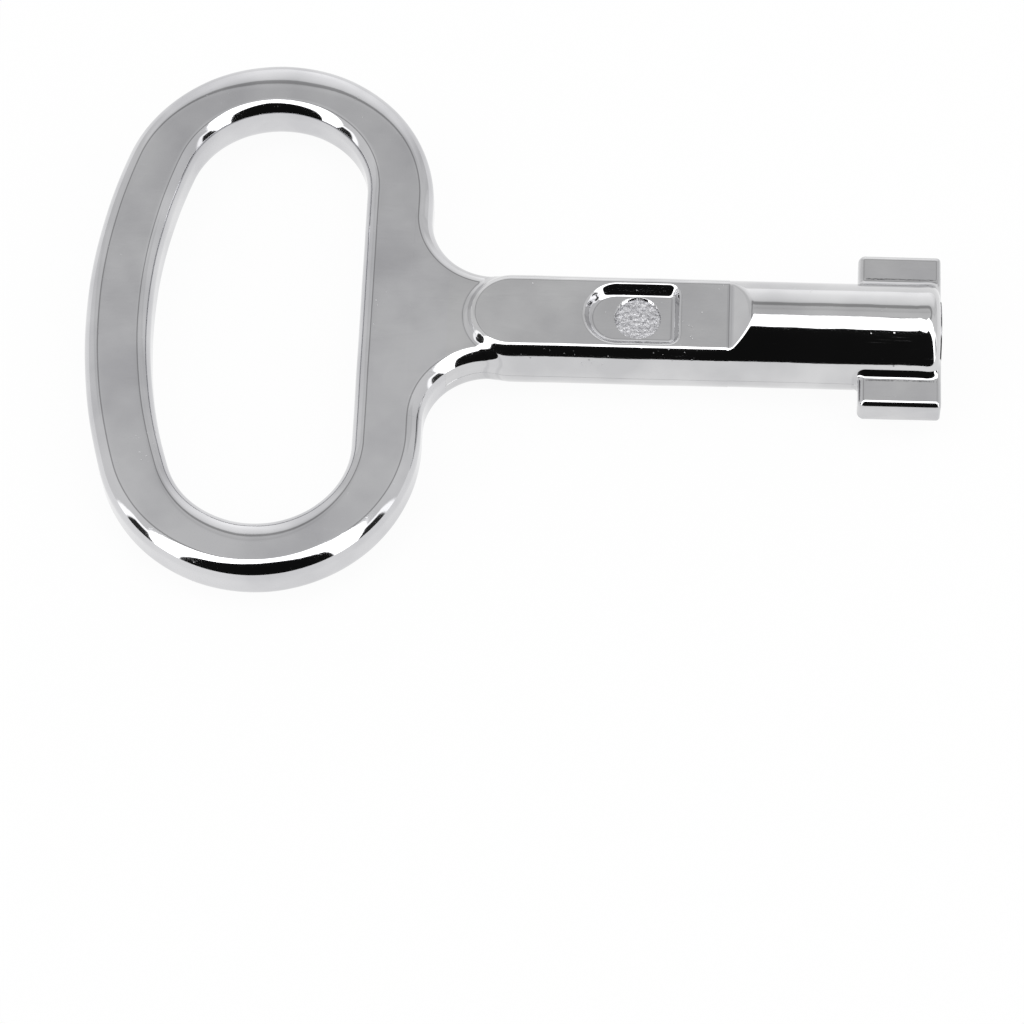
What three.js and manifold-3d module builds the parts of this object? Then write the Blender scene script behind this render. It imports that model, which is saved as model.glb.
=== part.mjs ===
// Tubular double-bit cabinet key: a chrome-plated zinc casting, split where its features meet.
// Millimetres. The shank's axis is the X axis, the tip points towards +X and the bow lies flat at -X.
import * as THREE from "three";
import * as BufferGeometryUtils from "three/addons/utils/BufferGeometryUtils.js";
import Module from "manifold-3d";

const wasm = await Module();
wasm.setup();

// Overall
const TIP_X = 37.5;
const BOW_X = -37.5;

// Shank and barrel
const BAR_R = 4.7;
const BAR_SIDES = 64;
const END_STEPS = 12;
const FLAT_Z = 3.55;
const FLAT_START_X = 0;
const FLAT_END_X = 19;
const RAMP_END_X = 21.1;
const BORE_R = 3;
const BORE_END_X = 23.5;
const BORE_POINT = 0.9;
const BORE_CHAMFER = 0.25;
const LIP_FLARE = 0.2;
const LIP_LENGTH = 1.1;
const LIP_ROUND = 0.35;

// Bow: the outer and inner ovals have a straight side facing the shank and a bulging far side
const PLATE_Z = 2.4;
const EDGE_ROUND = 1.45;
const EDGE_STEPS = 5;
const OUTER = { far: BOW_X, near: -7.45, cornerR: 14.1, cornerY: 11.6 };
const INNER = { far: -31.7, near: -13.4, cornerR: 8.1, cornerY: 12.5 };
const CORNER_STEPS = 20;
const SIDE_STEPS = 8;

// Web between the bow and the shank
const WEB_FILLET_R = 5.7;
const WEB_FILLET_STEPS = 10;
const NECK_Y = 4.4;

// Recess in the upper flat, square towards the tip and round towards the bow, and the sunken mark in it
const RECESS_DEPTH = 1.1;
const RECESS_SLOPE = 0.75;
const RECESS_Y = 2.9;
const RECESS_BOW_X = 6.3;
const RECESS_TIP_X = 14.7;
const RECESS_CORNER_R = 1;
const MARK_X = 11;
const MARK_PIT_R = 2;
const MARK_PIT_DEPTH = 0.55;
const MARK_R = 1.9;
const MARK_THICKNESS = 0.25;
const MARK_SIDES = 40;

// Bits: the two wings at the tip
const BIT_LENGTH = 7;
const BIT_SPAN_Y = 7.55;
const BIT_THICKNESS = 3;
const BIT_ROUND = 0.5;
const BIT_CORNER_R = 0.65;
const BIT_ROUND_STEPS = 4;
const BIT_SEAT_Y = 4.2;
const BIT_FILLET_R = 0.8;
const BIT_FILLET_STEPS = 4;

const CLEAR = 5;

function solid(geometry) {
  let source = geometry.index ? geometry.toNonIndexed() : geometry.clone();
  source.deleteAttribute("normal");
  source.deleteAttribute("uv");
  source = BufferGeometryUtils.mergeVertices(source, 1e-5);
  const corners = source.index.array;
  const kept = [];
  for (let i = 0; i < corners.length; i += 3) {
    const [a, b, c] = [corners[i], corners[i + 1], corners[i + 2]];
    if (a !== b && b !== c && c !== a) {
      kept.push(a, b, c);
    }
  }
  const mesh = new wasm.Mesh({
    numProp: 3,
    vertProperties: new Float32Array(source.attributes.position.array),
    triVerts: new Uint32Array(kept),
  });
  return new wasm.Manifold(mesh);
}

function block(x0, x1, y0, y1, z0, z1) {
  const box = new THREE.BoxGeometry(x1 - x0, y1 - y0, z1 - z0);
  box.translate((x0 + x1) / 2, (y0 + y1) / 2, (z0 + z1) / 2);
  return solid(box);
}

// Turns a profile of [radius, x] corners, starting and ending on the axis, about the X axis.
function turned(profile, sides = BAR_SIDES) {
  const points = profile.map(([radius, x]) => new THREE.Vector2(radius, x));
  const lathe = new THREE.LatheGeometry(points, sides);
  lathe.rotateZ(-Math.PI / 2);
  return solid(lathe);
}

function arc(cx, cy, radius, from, to, steps) {
  const points = [];
  for (let i = 0; i <= steps; i += 1) {
    const angle = from + ((to - from) * i) / steps;
    points.push(new THREE.Vector2(cx + radius * Math.cos(angle), cy + radius * Math.sin(angle)));
  }
  return points;
}

// Three tangent arcs: two corners joined by one long arc on the far side.
function ovalArcs({ far, near, cornerR, cornerY }) {
  const reach = far - near + cornerR;
  const sideR = (cornerR ** 2 - reach ** 2 - cornerY ** 2) / (2 * (reach + cornerR));
  const sideX = far + sideR;
  const cornerX = near - cornerR;
  const turn = Math.atan2(cornerY, cornerX - sideX);
  const upper = arc(cornerX, cornerY, cornerR, 0, turn, CORNER_STEPS);
  const side = arc(sideX, 0, sideR, turn, 2 * Math.PI - turn, SIDE_STEPS);
  const lower = arc(cornerX, -cornerY, cornerR, 2 * Math.PI - turn, 2 * Math.PI, CORNER_STEPS);
  return [...upper, ...side.slice(1, -1), ...lower];
}

// The bow, the web and the start of the neck as one plate with rounded edges.
function bowPlate() {
  const filletX = OUTER.near + WEB_FILLET_R;
  const filletY = NECK_Y + WEB_FILLET_R;
  const outline = [
    new THREE.Vector2(FLAT_START_X + CLEAR, -NECK_Y),
    new THREE.Vector2(FLAT_START_X + CLEAR, NECK_Y),
    ...arc(filletX, filletY, WEB_FILLET_R, -Math.PI / 2, -Math.PI, WEB_FILLET_STEPS),
    ...ovalArcs(OUTER),
    ...arc(filletX, -filletY, WEB_FILLET_R, Math.PI, Math.PI / 2, WEB_FILLET_STEPS),
  ];
  const shape = new THREE.Shape(outline);
  shape.holes.push(new THREE.Path(ovalArcs(INNER).reverse()));
  const plate = new THREE.ExtrudeGeometry(shape, {
    depth: 2 * (PLATE_Z - EDGE_ROUND),
    steps: 1,
    bevelEnabled: true,
    bevelThickness: EDGE_ROUND,
    bevelSize: EDGE_ROUND,
    bevelOffset: -EDGE_ROUND,
    bevelSegments: EDGE_STEPS,
  });
  plate.translate(0, 0, EDGE_ROUND - PLATE_Z);
  return solid(plate);
}

// The round bar with a ball-shaped end towards the bow.
function roundBar() {
  const end = arc(0, FLAT_START_X, BAR_R, -Math.PI / 2, 0, END_STEPS).map((p) => [p.x, p.y]);
  end[0][0] = 0;
  return turned([...end, [BAR_R, FLAT_END_X], [0, FLAT_END_X]]);
}

function recessOutline() {
  const half = RECESS_Y;
  const tip = RECESS_TIP_X - RECESS_CORNER_R;
  const side = half - RECESS_CORNER_R;
  return [
    ...arc(tip, -side, RECESS_CORNER_R, -Math.PI / 2, 0, 4),
    ...arc(tip, side, RECESS_CORNER_R, 0, Math.PI / 2, 4),
    ...arc(RECESS_BOW_X + half, 0, half, Math.PI / 2, 1.5 * Math.PI, 16),
  ];
}

// The recess as a solid with sloping walls that narrow towards its floor.
function recessCutter() {
  const shape = new THREE.Shape(recessOutline());
  const cutter = new THREE.ExtrudeGeometry(shape, {
    depth: CLEAR,
    steps: 1,
    bevelEnabled: true,
    bevelThickness: RECESS_DEPTH,
    bevelSize: RECESS_SLOPE,
    bevelOffset: -RECESS_SLOPE,
    bevelSegments: 1,
  });
  cutter.translate(0, 0, FLAT_Z);
  return solid(cutter);
}

function disc(x, radius, bottom, top) {
  const round = new THREE.CylinderGeometry(radius, radius, top - bottom, MARK_SIDES);
  round.rotateX(Math.PI / 2);
  round.translate(x, 0, (bottom + top) / 2);
  return solid(round);
}

// Hollow fillets between the barrel and both faces of a wing, tangent to each.
function bitRoot(side, x0, x1) {
  const high = BIT_THICKNESS / 2 + BIT_FILLET_R;
  const out = Math.sqrt((BAR_R + BIT_FILLET_R) ** 2 - high ** 2);
  const lean = Math.atan2(high, out);
  const upper = arc(out, high, BIT_FILLET_R, Math.PI + lean, 1.5 * Math.PI, BIT_FILLET_STEPS);
  const half = [new THREE.Vector2(BIT_SEAT_Y, upper[0].y), ...upper];
  const lower = half.map((p) => new THREE.Vector2(p.x, -p.y)).reverse();
  const section = new THREE.Shape([...half, ...lower].map((p) => new THREE.Vector2(side * p.x, p.y)));
  const root = new THREE.ExtrudeGeometry(section, { depth: x1 - x0, steps: 1, bevelEnabled: false });
  root.translate(0, 0, x0);
  const [alongX, alongY, alongZ] = [0, 1, 2].map((i) => new THREE.Vector3().setComponent(i, 1));
  root.applyMatrix4(new THREE.Matrix4().makeBasis(alongY, alongZ, alongX));
  return solid(root);
}

function bit(side) {
  const left = TIP_X - BIT_LENGTH + BIT_CORNER_R;
  const right = TIP_X - BIT_CORNER_R;
  const high = BIT_THICKNESS / 2 - BIT_CORNER_R;
  const quarter = Math.PI / 2;
  const section = new THREE.Shape([
    ...arc(right, high, BIT_CORNER_R, 0, quarter, BIT_ROUND_STEPS),
    ...arc(left, high, BIT_CORNER_R, quarter, 2 * quarter, BIT_ROUND_STEPS),
    ...arc(left, -high, BIT_CORNER_R, 2 * quarter, 3 * quarter, BIT_ROUND_STEPS),
    ...arc(right, -high, BIT_CORNER_R, 3 * quarter, 4 * quarter, BIT_ROUND_STEPS),
  ]);
  const bar = new THREE.ExtrudeGeometry(section, {
    depth: BIT_SPAN_Y - BIT_ROUND,
    steps: 1,
    bevelEnabled: true,
    bevelThickness: BIT_ROUND,
    bevelSize: BIT_ROUND,
    bevelOffset: -BIT_ROUND,
    bevelSegments: BIT_ROUND_STEPS,
  });
  bar.rotateX(-side * quarter);
  const low = side > 0 ? BIT_SEAT_Y : -BIT_SPAN_Y - CLEAR;
  const high2 = side > 0 ? BIT_SPAN_Y + CLEAR : -BIT_SEAT_Y;
  const wing = solid(bar).intersect(block(0, TIP_X + CLEAR, low, high2, -CLEAR, CLEAR));
  return wing.add(bitRoot(side, left, right));
}

// The wedge above the sloping run-out from a flat up to the full round bar.
function rampCutter(side) {
  const slope = (BAR_R - FLAT_Z) / (RAMP_END_X - FLAT_END_X);
  const outer = BAR_R + CLEAR;
  const back = FLAT_END_X - 1;
  const wedge = new THREE.Shape([
    new THREE.Vector2(back, FLAT_Z - slope),
    new THREE.Vector2(FLAT_END_X + (outer - FLAT_Z) / slope, outer),
    new THREE.Vector2(back, outer),
  ]);
  const cutter = new THREE.ExtrudeGeometry(wedge, { depth: 4 * BAR_R, steps: 1, bevelEnabled: false });
  cutter.translate(0, 0, -2 * BAR_R);
  cutter.rotateX(side * (Math.PI / 2));
  return solid(cutter);
}

function barrelProfile() {
  const lipR = BAR_R + LIP_FLARE;
  const flareStart = TIP_X - LIP_LENGTH;
  const roundX = TIP_X - LIP_ROUND;
  const flareR = ((roundX - flareStart) ** 2 + LIP_FLARE ** 2) / (2 * LIP_FLARE);
  const flare = [];
  for (const share of [0, 0.4, 0.7, 0.9, 1]) {
    const along = (roundX - flareStart) * share;
    flare.push([BAR_R + flareR - Math.sqrt(flareR ** 2 - along ** 2), flareStart + along]);
  }
  const rim = arc(lipR - LIP_ROUND, roundX, LIP_ROUND, 0, Math.PI / 2, 3).slice(1);
  return [
    [0, FLAT_END_X],
    [BAR_R, FLAT_END_X],
    ...flare,
    ...rim.map((p) => [p.x, p.y]),
    [BORE_R + BORE_CHAMFER, TIP_X],
    [BORE_R, TIP_X - BORE_CHAMFER],
    [BORE_R, BORE_END_X],
    [0, BORE_END_X - BORE_POINT],
  ];
}

const group = new THREE.Group();
group.name = "tubular_double_bit_key";

function add(name, body, colour, roughness) {
  const found = body.getMesh();
  const geometry = new THREE.BufferGeometry();
  geometry.setAttribute("position", new THREE.BufferAttribute(new Float32Array(found.vertProperties), 3));
  geometry.setIndex(new THREE.BufferAttribute(new Uint32Array(found.triVerts), 1));
  const flat = geometry.toNonIndexed();
  flat.computeVertexNormals();
  const material = new THREE.MeshStandardMaterial({ color: colour, metalness: 1, roughness });
  const mesh = new THREE.Mesh(flat, material);
  mesh.name = name;
  group.add(mesh);
}

const plate = bowPlate();
const bar = roundBar();
const wide = 2 * BAR_R;
const webEdgeX = OUTER.near - EDGE_ROUND;
const webEdgeY = NECK_Y + WEB_FILLET_R;
const webRoom = block(webEdgeX, FLAT_START_X, -webEdgeY, webEdgeY, -wide, wide);
const beyondWeb = block(webEdgeX, FLAT_START_X + 2 * CLEAR, -webEdgeY, webEdgeY, -wide, wide);
const core = block(-2 * wide, FLAT_START_X, -wide, wide, -PLATE_Z, PLATE_Z);

const ring = plate.subtract(beyondWeb);
const web = plate.intersect(webRoom).add(bar.intersect(core));

const betweenFlats = block(-wide, FLAT_END_X + CLEAR, -wide, wide, -FLAT_Z, FLAT_Z);
const recessFloor = FLAT_Z - RECESS_DEPTH;
const pitFloor = recessFloor - MARK_PIT_DEPTH;
const shank = bar
  .subtract(core)
  .intersect(betweenFlats)
  .subtract(recessCutter())
  .subtract(disc(MARK_X, MARK_PIT_R, pitFloor, recessFloor + CLEAR));

const bitLeft = bit(1);
const bitRight = bit(-1);
const barrel = turned(barrelProfile())
  .subtract(rampCutter(1))
  .subtract(rampCutter(-1))
  .subtract(bitLeft)
  .subtract(bitRight);

add("bow_ring", ring, "#c9cacc", 0.12);
add("web", web, "#c6c7c9", 0.12);
add("shank", shank, "#c4c5c8", 0.1);
add("mark_disc", disc(MARK_X, MARK_R, pitFloor, pitFloor + MARK_THICKNESS), "#bfc0c2", 0.45);
add("barrel", barrel, "#c8c9cb", 0.08);
add("bit_left", bitLeft, "#c2c3c6", 0.12);
add("bit_right", bitRight, "#c5c6c8", 0.12);

export default group;
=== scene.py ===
import math

import bpy
import numpy as np
from mathutils import Matrix, Vector


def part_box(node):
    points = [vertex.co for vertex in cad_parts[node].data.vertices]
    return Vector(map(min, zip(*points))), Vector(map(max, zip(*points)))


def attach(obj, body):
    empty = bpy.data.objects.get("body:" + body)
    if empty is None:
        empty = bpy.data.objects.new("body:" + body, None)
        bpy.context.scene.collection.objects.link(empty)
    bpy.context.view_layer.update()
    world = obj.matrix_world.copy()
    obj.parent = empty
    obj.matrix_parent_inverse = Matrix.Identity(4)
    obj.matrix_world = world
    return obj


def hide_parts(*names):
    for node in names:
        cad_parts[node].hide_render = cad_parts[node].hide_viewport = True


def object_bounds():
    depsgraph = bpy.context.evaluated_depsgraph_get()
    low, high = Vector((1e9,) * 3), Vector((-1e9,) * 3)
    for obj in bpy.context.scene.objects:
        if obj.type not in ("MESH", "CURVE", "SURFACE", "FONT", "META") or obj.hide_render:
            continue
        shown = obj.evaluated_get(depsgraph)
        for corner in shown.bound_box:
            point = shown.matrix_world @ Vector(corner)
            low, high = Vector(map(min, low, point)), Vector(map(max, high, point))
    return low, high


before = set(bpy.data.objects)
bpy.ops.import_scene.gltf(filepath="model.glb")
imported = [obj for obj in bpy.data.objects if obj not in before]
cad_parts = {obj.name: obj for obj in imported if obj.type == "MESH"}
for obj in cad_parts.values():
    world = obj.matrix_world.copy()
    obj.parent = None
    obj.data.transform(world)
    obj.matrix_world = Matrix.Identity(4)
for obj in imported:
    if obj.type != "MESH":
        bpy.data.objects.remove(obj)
cad_low, cad_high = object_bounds()

# ---------------------------------------------------------------------------
# Sizes, in millimetres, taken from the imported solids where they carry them
# ---------------------------------------------------------------------------

MM = 0.001


def node_box(name):
    """Lowest and highest corner of a node, in millimetres."""
    low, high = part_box(name)
    return np.array(low) / MM, np.array(high) / MM


ring_low, ring_high = node_box("bow_ring")
_, web_high = node_box("web")
_, shank_high = node_box("shank")
_, barrel_high = node_box("barrel")
bit_low, bit_high = node_box("bit_left")
mark_low, mark_high = node_box("mark_disc")

# Bar and flats
TIP_X = barrel_high[0]
BAR_R = shank_high[1]
FLAT_SINK = 0.3  # how much lower the finished flats lie than the solids'
FLAT_Z = shank_high[2] - FLAT_SINK
FLAT_END_X = shank_high[0]
FLAT_EDGE_ROUND = 0.22
RAMP_START_X = FLAT_END_X + 0.12
RAMP_RUN = 1.7
RAMP_SLOPE = (BAR_R - FLAT_Z) / RAMP_RUN
RAMP_FOOT = 0.18

# Rim and bore
FLARE = barrel_high[2] - BAR_R
FLARE_LENGTH = 2.2
DOME_RUN = 1.4
DOME_BORE_R = 3.25
RIM_ROUND = 0.35
BORE_R = 3.0
BORE_END_X = 23.5
BORE_POINT = 0.9
BORE_CHAMFER = 0.25

# Bow: an outer and an inner oval, a plate between them and its edge rounds
PLATE_Z = ring_high[2]
OUTER = {"far": ring_low[0], "near": -7.45, "corner_r": 14.1, "corner_y": 11.6}
INNER = {"far": -31.7, "near": -13.4, "corner_r": 8.1, "corner_y": 12.5}
EDGE_ROUND = 1.45
INNER_ROUND = 1.3
BACK_ROUND = 1.45  # added to the outer round on the +Y side
FRONT_ROUND = 0.9  # added to the inner round on the -Y side
HOLE_TAPER = (0.27, 0.04)  # how far the wall stands in at the hole's ends, and more at the top

# Web and step
NECK_Y = 4.4
NECK_TAPER = 0.45
WEB_FILLET_R = web_high[1] - NECK_Y
WEB_FILLET_X = OUTER["near"] + WEB_FILLET_R
WEB_FILLET_Y = NECK_Y + WEB_FILLET_R
WEB_END_X = -5.6
STEP_FILLET = 0.32

# Recess and mark
RECESS_FLOOR = FLAT_Z - 0.8
RECESS_SLOPE = 0.75 / 1.1
RECESS_Y = 2.9
RECESS_ROUND_X = 9.2
RECESS_TIP_X = 14.7
RECESS_CORNER_R = 1.0
RECESS_LIP = 0.15
RECESS_FOOT = 0.22
MARK_X = (mark_low[0] + mark_high[0]) / 2
MARK_GAP = 0.03
MARK_SINK = 0.03  # how far its level lies under the solid disc's top
MARK_RELIEF = 0.055
MARK_GRAIN = 0.13
MARK_FADE = 0.25  # width of the smoother rim
MARK_ROOT = 0.05  # how far it reaches into the metal below the pit
PIT_R = (mark_high[0] - mark_low[0]) / 2 + 0.1
PIT_FLOOR = mark_low[2]
PIT_FOOT = 0.15
PIT_LIP = 0.06

# Bits
BIT_START_X = bit_low[0] - 0.22
BIT_X = (BIT_START_X + bit_high[0]) / 2
BIT_HALF_X = (bit_high[0] - BIT_START_X) / 2
BIT_HALF_Z = 1.5
BIT_SPAN = bit_high[1] - 0.03
BIT_ROUND = 0.6
BIT_FILLET = 0.55
BIT_OVERRUN = 2.0  # how far the bits' bar runs past the tip before the tip is cut off
BARREL_CUT_Y = 5.15  # the barrel's mesh ends here and the bits' meshes take over
BIT_START_Y = 4.95

# Casting waves: height in mm, turns per mm along X, Y and Z in radians, phase
WAVES = (
    (0.0060, 0.62, 0.31, 0.7, 0.4),
    (0.0045, -0.47, 0.83, 0.4, 1.9),
    (0.0030, 1.13, -0.52, 0.9, 3.1),
    (0.0018, 1.71, 1.24, -1.1, 5.2),
)

# Mesh: rays and how finely they look for the surface
FAN_Y = 3.0
SEARCH_STEPS = 49
SEARCH_HALVINGS = 26
BAR_REACH = 9.0
BARREL_REACH = 6.5
BIT_REACH = 8.0
NO_LIMIT = 99.0
TINY = 1e-6

# ---------------------------------------------------------------------------
# The casting's form as one signed distance, negative inside the metal
# ---------------------------------------------------------------------------


def fillet_join(a, b, radius):
    """Union of two solids with a round fillet: inside the corner where both distances are under
    the radius, the distance is the radius minus the length of the two shortfalls."""
    short = np.hypot(np.maximum(radius - a, 0), np.maximum(radius - b, 0))
    return np.maximum(radius, np.minimum(a, b)) - short


def round_cut(a, b, radius):
    """Common part of two solids with its edge rounded: the mirror image of fillet_join."""
    over = np.hypot(np.maximum(radius + a, 0), np.maximum(radius + b, 0))
    return np.minimum(-radius, np.maximum(a, b)) + over


def waviness(x, y, z):
    """Slow unevenness left by casting and hand polishing: the sum of a few sine waves, about 3 to
    6 mm long and under a hundredth of a millimetre high, crossing at odd angles."""
    return sum(
        height * np.sin(along * x + across * y + up * z + phase)
        for height, along, across, up, phase in WAVES
    )


def plate_distance(x, y, z):
    """The web: its outline is the quarter circle of each side fillet, then a neck that narrows
    away inside the bar, cut to the plate's thickness with round edges."""
    side = np.abs(y)
    arc = WEB_FILLET_R - np.hypot(x - WEB_FILLET_X, side - WEB_FILLET_Y)
    beyond = np.maximum(x - WEB_FILLET_X, 0)
    neck = side - NECK_Y + NECK_TAPER * (np.sqrt(beyond**2 + 1) - 1)
    outline = np.where(x < WEB_FILLET_X, arc, neck)
    return round_cut(outline, np.abs(z) - PLATE_Z, EDGE_ROUND)


def bar_radius(x):
    """The bar's radius: constant, then swelling by the flare in the last stretch, along the smooth
    step of three squares less two cubes of the share."""
    share = np.clip((x - (TIP_X - FLARE_LENGTH)) / FLARE_LENGTH, 0, 1)
    return BAR_R + FLARE * share * share * (3 - 2 * share)


def bar_distance(x, y, z):
    """Distance to the round bar, whose bow end is a ball about the origin."""
    return np.sqrt(np.minimum(x, 0) ** 2 + y**2 + z**2) - bar_radius(x)


def flat_distance(x, z):
    """Distance beyond the flats: level up to their end, then a straight ramp up to the full bar."""
    level = np.abs(z) - FLAT_Z
    ramp = (level - RAMP_SLOPE * (x - RAMP_START_X)) / math.hypot(1, RAMP_SLOPE)
    return fillet_join(level, ramp, RAMP_FOOT)


def recess_distance(x, y, z):
    """The D-shaped recess, negative in its hollow: a half circle towards the bow, a rounded square
    towards the tip, sloping walls, a flat floor, and the round pit of the mark in that floor."""
    side = np.abs(y)
    bow_end = np.hypot(x - RECESS_ROUND_X, y) - RECESS_Y
    over_x = x - (RECESS_TIP_X - RECESS_CORNER_R)
    over_y = side - (RECESS_Y - RECESS_CORNER_R)
    corner = np.hypot(np.maximum(over_x, 0), np.maximum(over_y, 0))
    tip_end = corner + np.minimum(np.maximum(over_x, over_y), 0) - RECESS_CORNER_R
    outline = np.where(x < RECESS_ROUND_X, bow_end, tip_end)
    wall = (outline + (FLAT_Z - z) * RECESS_SLOPE) / math.hypot(1, RECESS_SLOPE)
    bowl = round_cut(wall, RECESS_FLOOR - z, RECESS_FOOT)
    pit = round_cut(np.hypot(x - MARK_X, y) - PIT_R, PIT_FLOOR - z, PIT_FOOT)
    return fillet_join(bowl, pit, PIT_LIP)


def bit_distance(x, y, z):
    """The two bits as one bar across the tip with rounded edges: how far a point lies past the bar
    shrunk by the rounding, less the rounding."""
    far = BIT_X + BIT_HALF_X + BIT_OVERRUN
    middle = (BIT_X - BIT_HALF_X + far) / 2
    half = (far - BIT_X + BIT_HALF_X) / 2
    over = (
        np.abs(x - middle) - (half - BIT_ROUND),
        np.abs(y) - (BIT_SPAN - BIT_ROUND),
        np.abs(z) - (BIT_HALF_Z - BIT_ROUND),
    )
    outside = np.sqrt(sum(np.maximum(o, 0) ** 2 for o in over))
    inside = np.minimum(np.maximum(np.maximum(over[0], over[1]), over[2]), 0)
    return outside + inside - BIT_ROUND


def web_metal(x, y, z):
    """The web alone, with the casting's unevenness."""
    return plate_distance(x, y, z) + waviness(x, y, z)


def shank_metal(x, y, z):
    """Shank, its step and the web: bar cut by the flats, joined to the plate, less the recess."""
    bar = round_cut(bar_distance(x, y, z), flat_distance(x, z), FLAT_EDGE_ROUND)
    metal = fillet_join(bar, plate_distance(x, y, z), STEP_FILLET)
    metal = round_cut(metal, -recess_distance(x, y, z), RECESS_LIP)
    return metal + waviness(x, y, z)


def tip_metal(x, y, z):
    """Barrel and bits: bar cut by the ramps, its rim domed as a quarter ellipse, joined to the bits
    and squared off at the tip."""
    bar = round_cut(bar_distance(x, y, z), flat_distance(x, z), FLAT_EDGE_ROUND)
    wide = BAR_R + FLARE - DOME_BORE_R
    off_axis = np.maximum(np.hypot(y, z) - DOME_BORE_R, 0) / wide
    into_end = np.maximum(x - (TIP_X - DOME_RUN), 0) / DOME_RUN
    dome = (np.hypot(off_axis, into_end) - 1) * DOME_RUN
    bar = round_cut(bar, dome, RIM_ROUND)
    metal = fillet_join(bar, bit_distance(x, y, z), BIT_FILLET)
    return round_cut(metal + waviness(x, y, z), x - TIP_X, RIM_ROUND)


def cast_out(metal, origin, direction, reach):
    """Along each line from origin, the first place where the metal ends: coarse steps find the
    change of sign and halving finishes it. Returns the distances."""
    steps = np.linspace(0, 1, SEARCH_STEPS)[1:]
    low = np.zeros(reach.shape)
    high = reach.copy()
    open_yet = np.zeros(reach.shape, bool)
    for share in steps:
        point = origin + direction * (reach * share)[..., None]
        out = metal(point[..., 0], point[..., 1], point[..., 2]) > 0
        first = out & ~open_yet
        high = np.where(first, reach * share, high)
        low = np.where(open_yet | out, low, reach * share)
        open_yet |= out
    for _ in range(SEARCH_HALVINGS):
        middle = (low + high) / 2
        point = origin + direction * middle[..., None]
        out = metal(point[..., 0], point[..., 1], point[..., 2]) > 0
        high = np.where(out, middle, high)
        low = np.where(out, low, middle)
    return (low + high) / 2


def slope_of(metal, points, step=0.004):
    """Outward unit normals: the slope of the distance by central differences."""
    x, y, z = points[..., 0], points[..., 1], points[..., 2]
    slope = np.stack(
        [
            metal(x + step, y, z) - metal(x - step, y, z),
            metal(x, y + step, z) - metal(x, y - step, z),
            metal(x, y, z + step) - metal(x, y, z - step),
        ],
        -1,
    )
    return slope / np.maximum(np.linalg.norm(slope, axis=-1, keepdims=True), 1e-12)


def bend_of(metal, points, step=0.12):
    """How sharply the surface bends: the sum of the distance's second differences, about one over
    the radius in millimetres on an edge and the same below zero in a hollow."""
    x, y, z = points[..., 0], points[..., 1], points[..., 2]
    around = (
        metal(x + step, y, z)
        + metal(x - step, y, z)
        + metal(x, y + step, z)
        + metal(x, y - step, z)
        + metal(x, y, z + step)
        + metal(x, y, z - step)
    )
    return (around - 6 * metal(x, y, z)) / step**2


def dense(low, high, count, spots):
    """count values from low to high, closer together near the spots (place, width, weight): each
    spot raises their density by a bell curve."""
    fine = np.linspace(low, high, 4000)
    weight = np.ones_like(fine)
    for place, width, extra in spots:
        weight += extra * np.exp(-(((fine - place) / width) ** 2))
    total = np.concatenate([[0], np.cumsum((weight[1:] + weight[:-1]) / 2)])
    return np.interp(np.linspace(0, total[-1], count), total, fine)


# ---------------------------------------------------------------------------
# Meshes
# ---------------------------------------------------------------------------


def sheet_faces(rows, columns, wrap_rows=False, start=0):
    """Quads of a grid whose columns close on themselves, and whose rows may too."""
    r = np.arange(rows if wrap_rows else rows - 1)[:, None]
    c = np.arange(columns)[None, :]
    r2 = (r + 1) % rows
    c2 = (c + 1) % columns
    quads = np.stack([r * columns + c, r * columns + c2, r2 * columns + c2, r2 * columns + c], -1)
    return quads.reshape(-1, 4) + start


def make_piece(name, points, quads, fans=(), normals=None, flip=False, bend=None):
    """A mesh object from points in millimetres, quads, and fans (centre index, loop of indices).
    The attribute "edge" holds how sharply the surface bends: over zero on edges, under it in
    hollows."""
    groups = [quads]
    for centre, loop in fans:
        groups.append(np.stack([np.full(len(loop), centre), loop, np.roll(loop, -1)], -1))
    if flip:
        groups = [group[:, ::-1] for group in groups]
    mesh = bpy.data.meshes.new(name)
    faces = [face for group in groups for face in group.tolist()]
    mesh.from_pydata((points * MM).tolist(), [], faces)
    mesh.validate()
    mesh.polygons.foreach_set("use_smooth", np.ones(len(mesh.polygons), bool))
    mesh.update()
    if normals is not None:
        mesh.normals_split_custom_set_from_vertices(normals.tolist())
    values = np.zeros(len(points))
    if bend is not None:
        values[: bend.size] = np.clip(bend.reshape(-1), -2, 2)
    mesh.attributes.new("edge", "FLOAT", "POINT").data.foreach_set("value", values)
    piece = bpy.data.objects.new(name, mesh)
    bpy.context.scene.collection.objects.link(piece)
    return piece


def loops_to_piece(name, loops, normals, start_pole, end_pole, flip=False, bend=None):
    """Closed piece from a stack of loops with a pole at each end. With normals given, the poles
    face along -X and +X."""
    rows, columns = loops.shape[:2]
    points = np.concatenate([loops.reshape(-1, 3), [start_pole, end_pole]])
    first, last = rows * columns, rows * columns + 1
    quads = sheet_faces(rows, columns)
    head = (first, np.arange(columns)[::-1])
    tail = (last, np.arange(columns) + (rows - 1) * columns)
    if normals is not None:
        ends = np.array([[-1.0, 0, 0], [1.0, 0, 0]])
        normals = np.concatenate([normals.reshape(-1, 3), ends])
    return make_piece(name, points, quads, [head, tail], normals, flip, bend)


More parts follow.
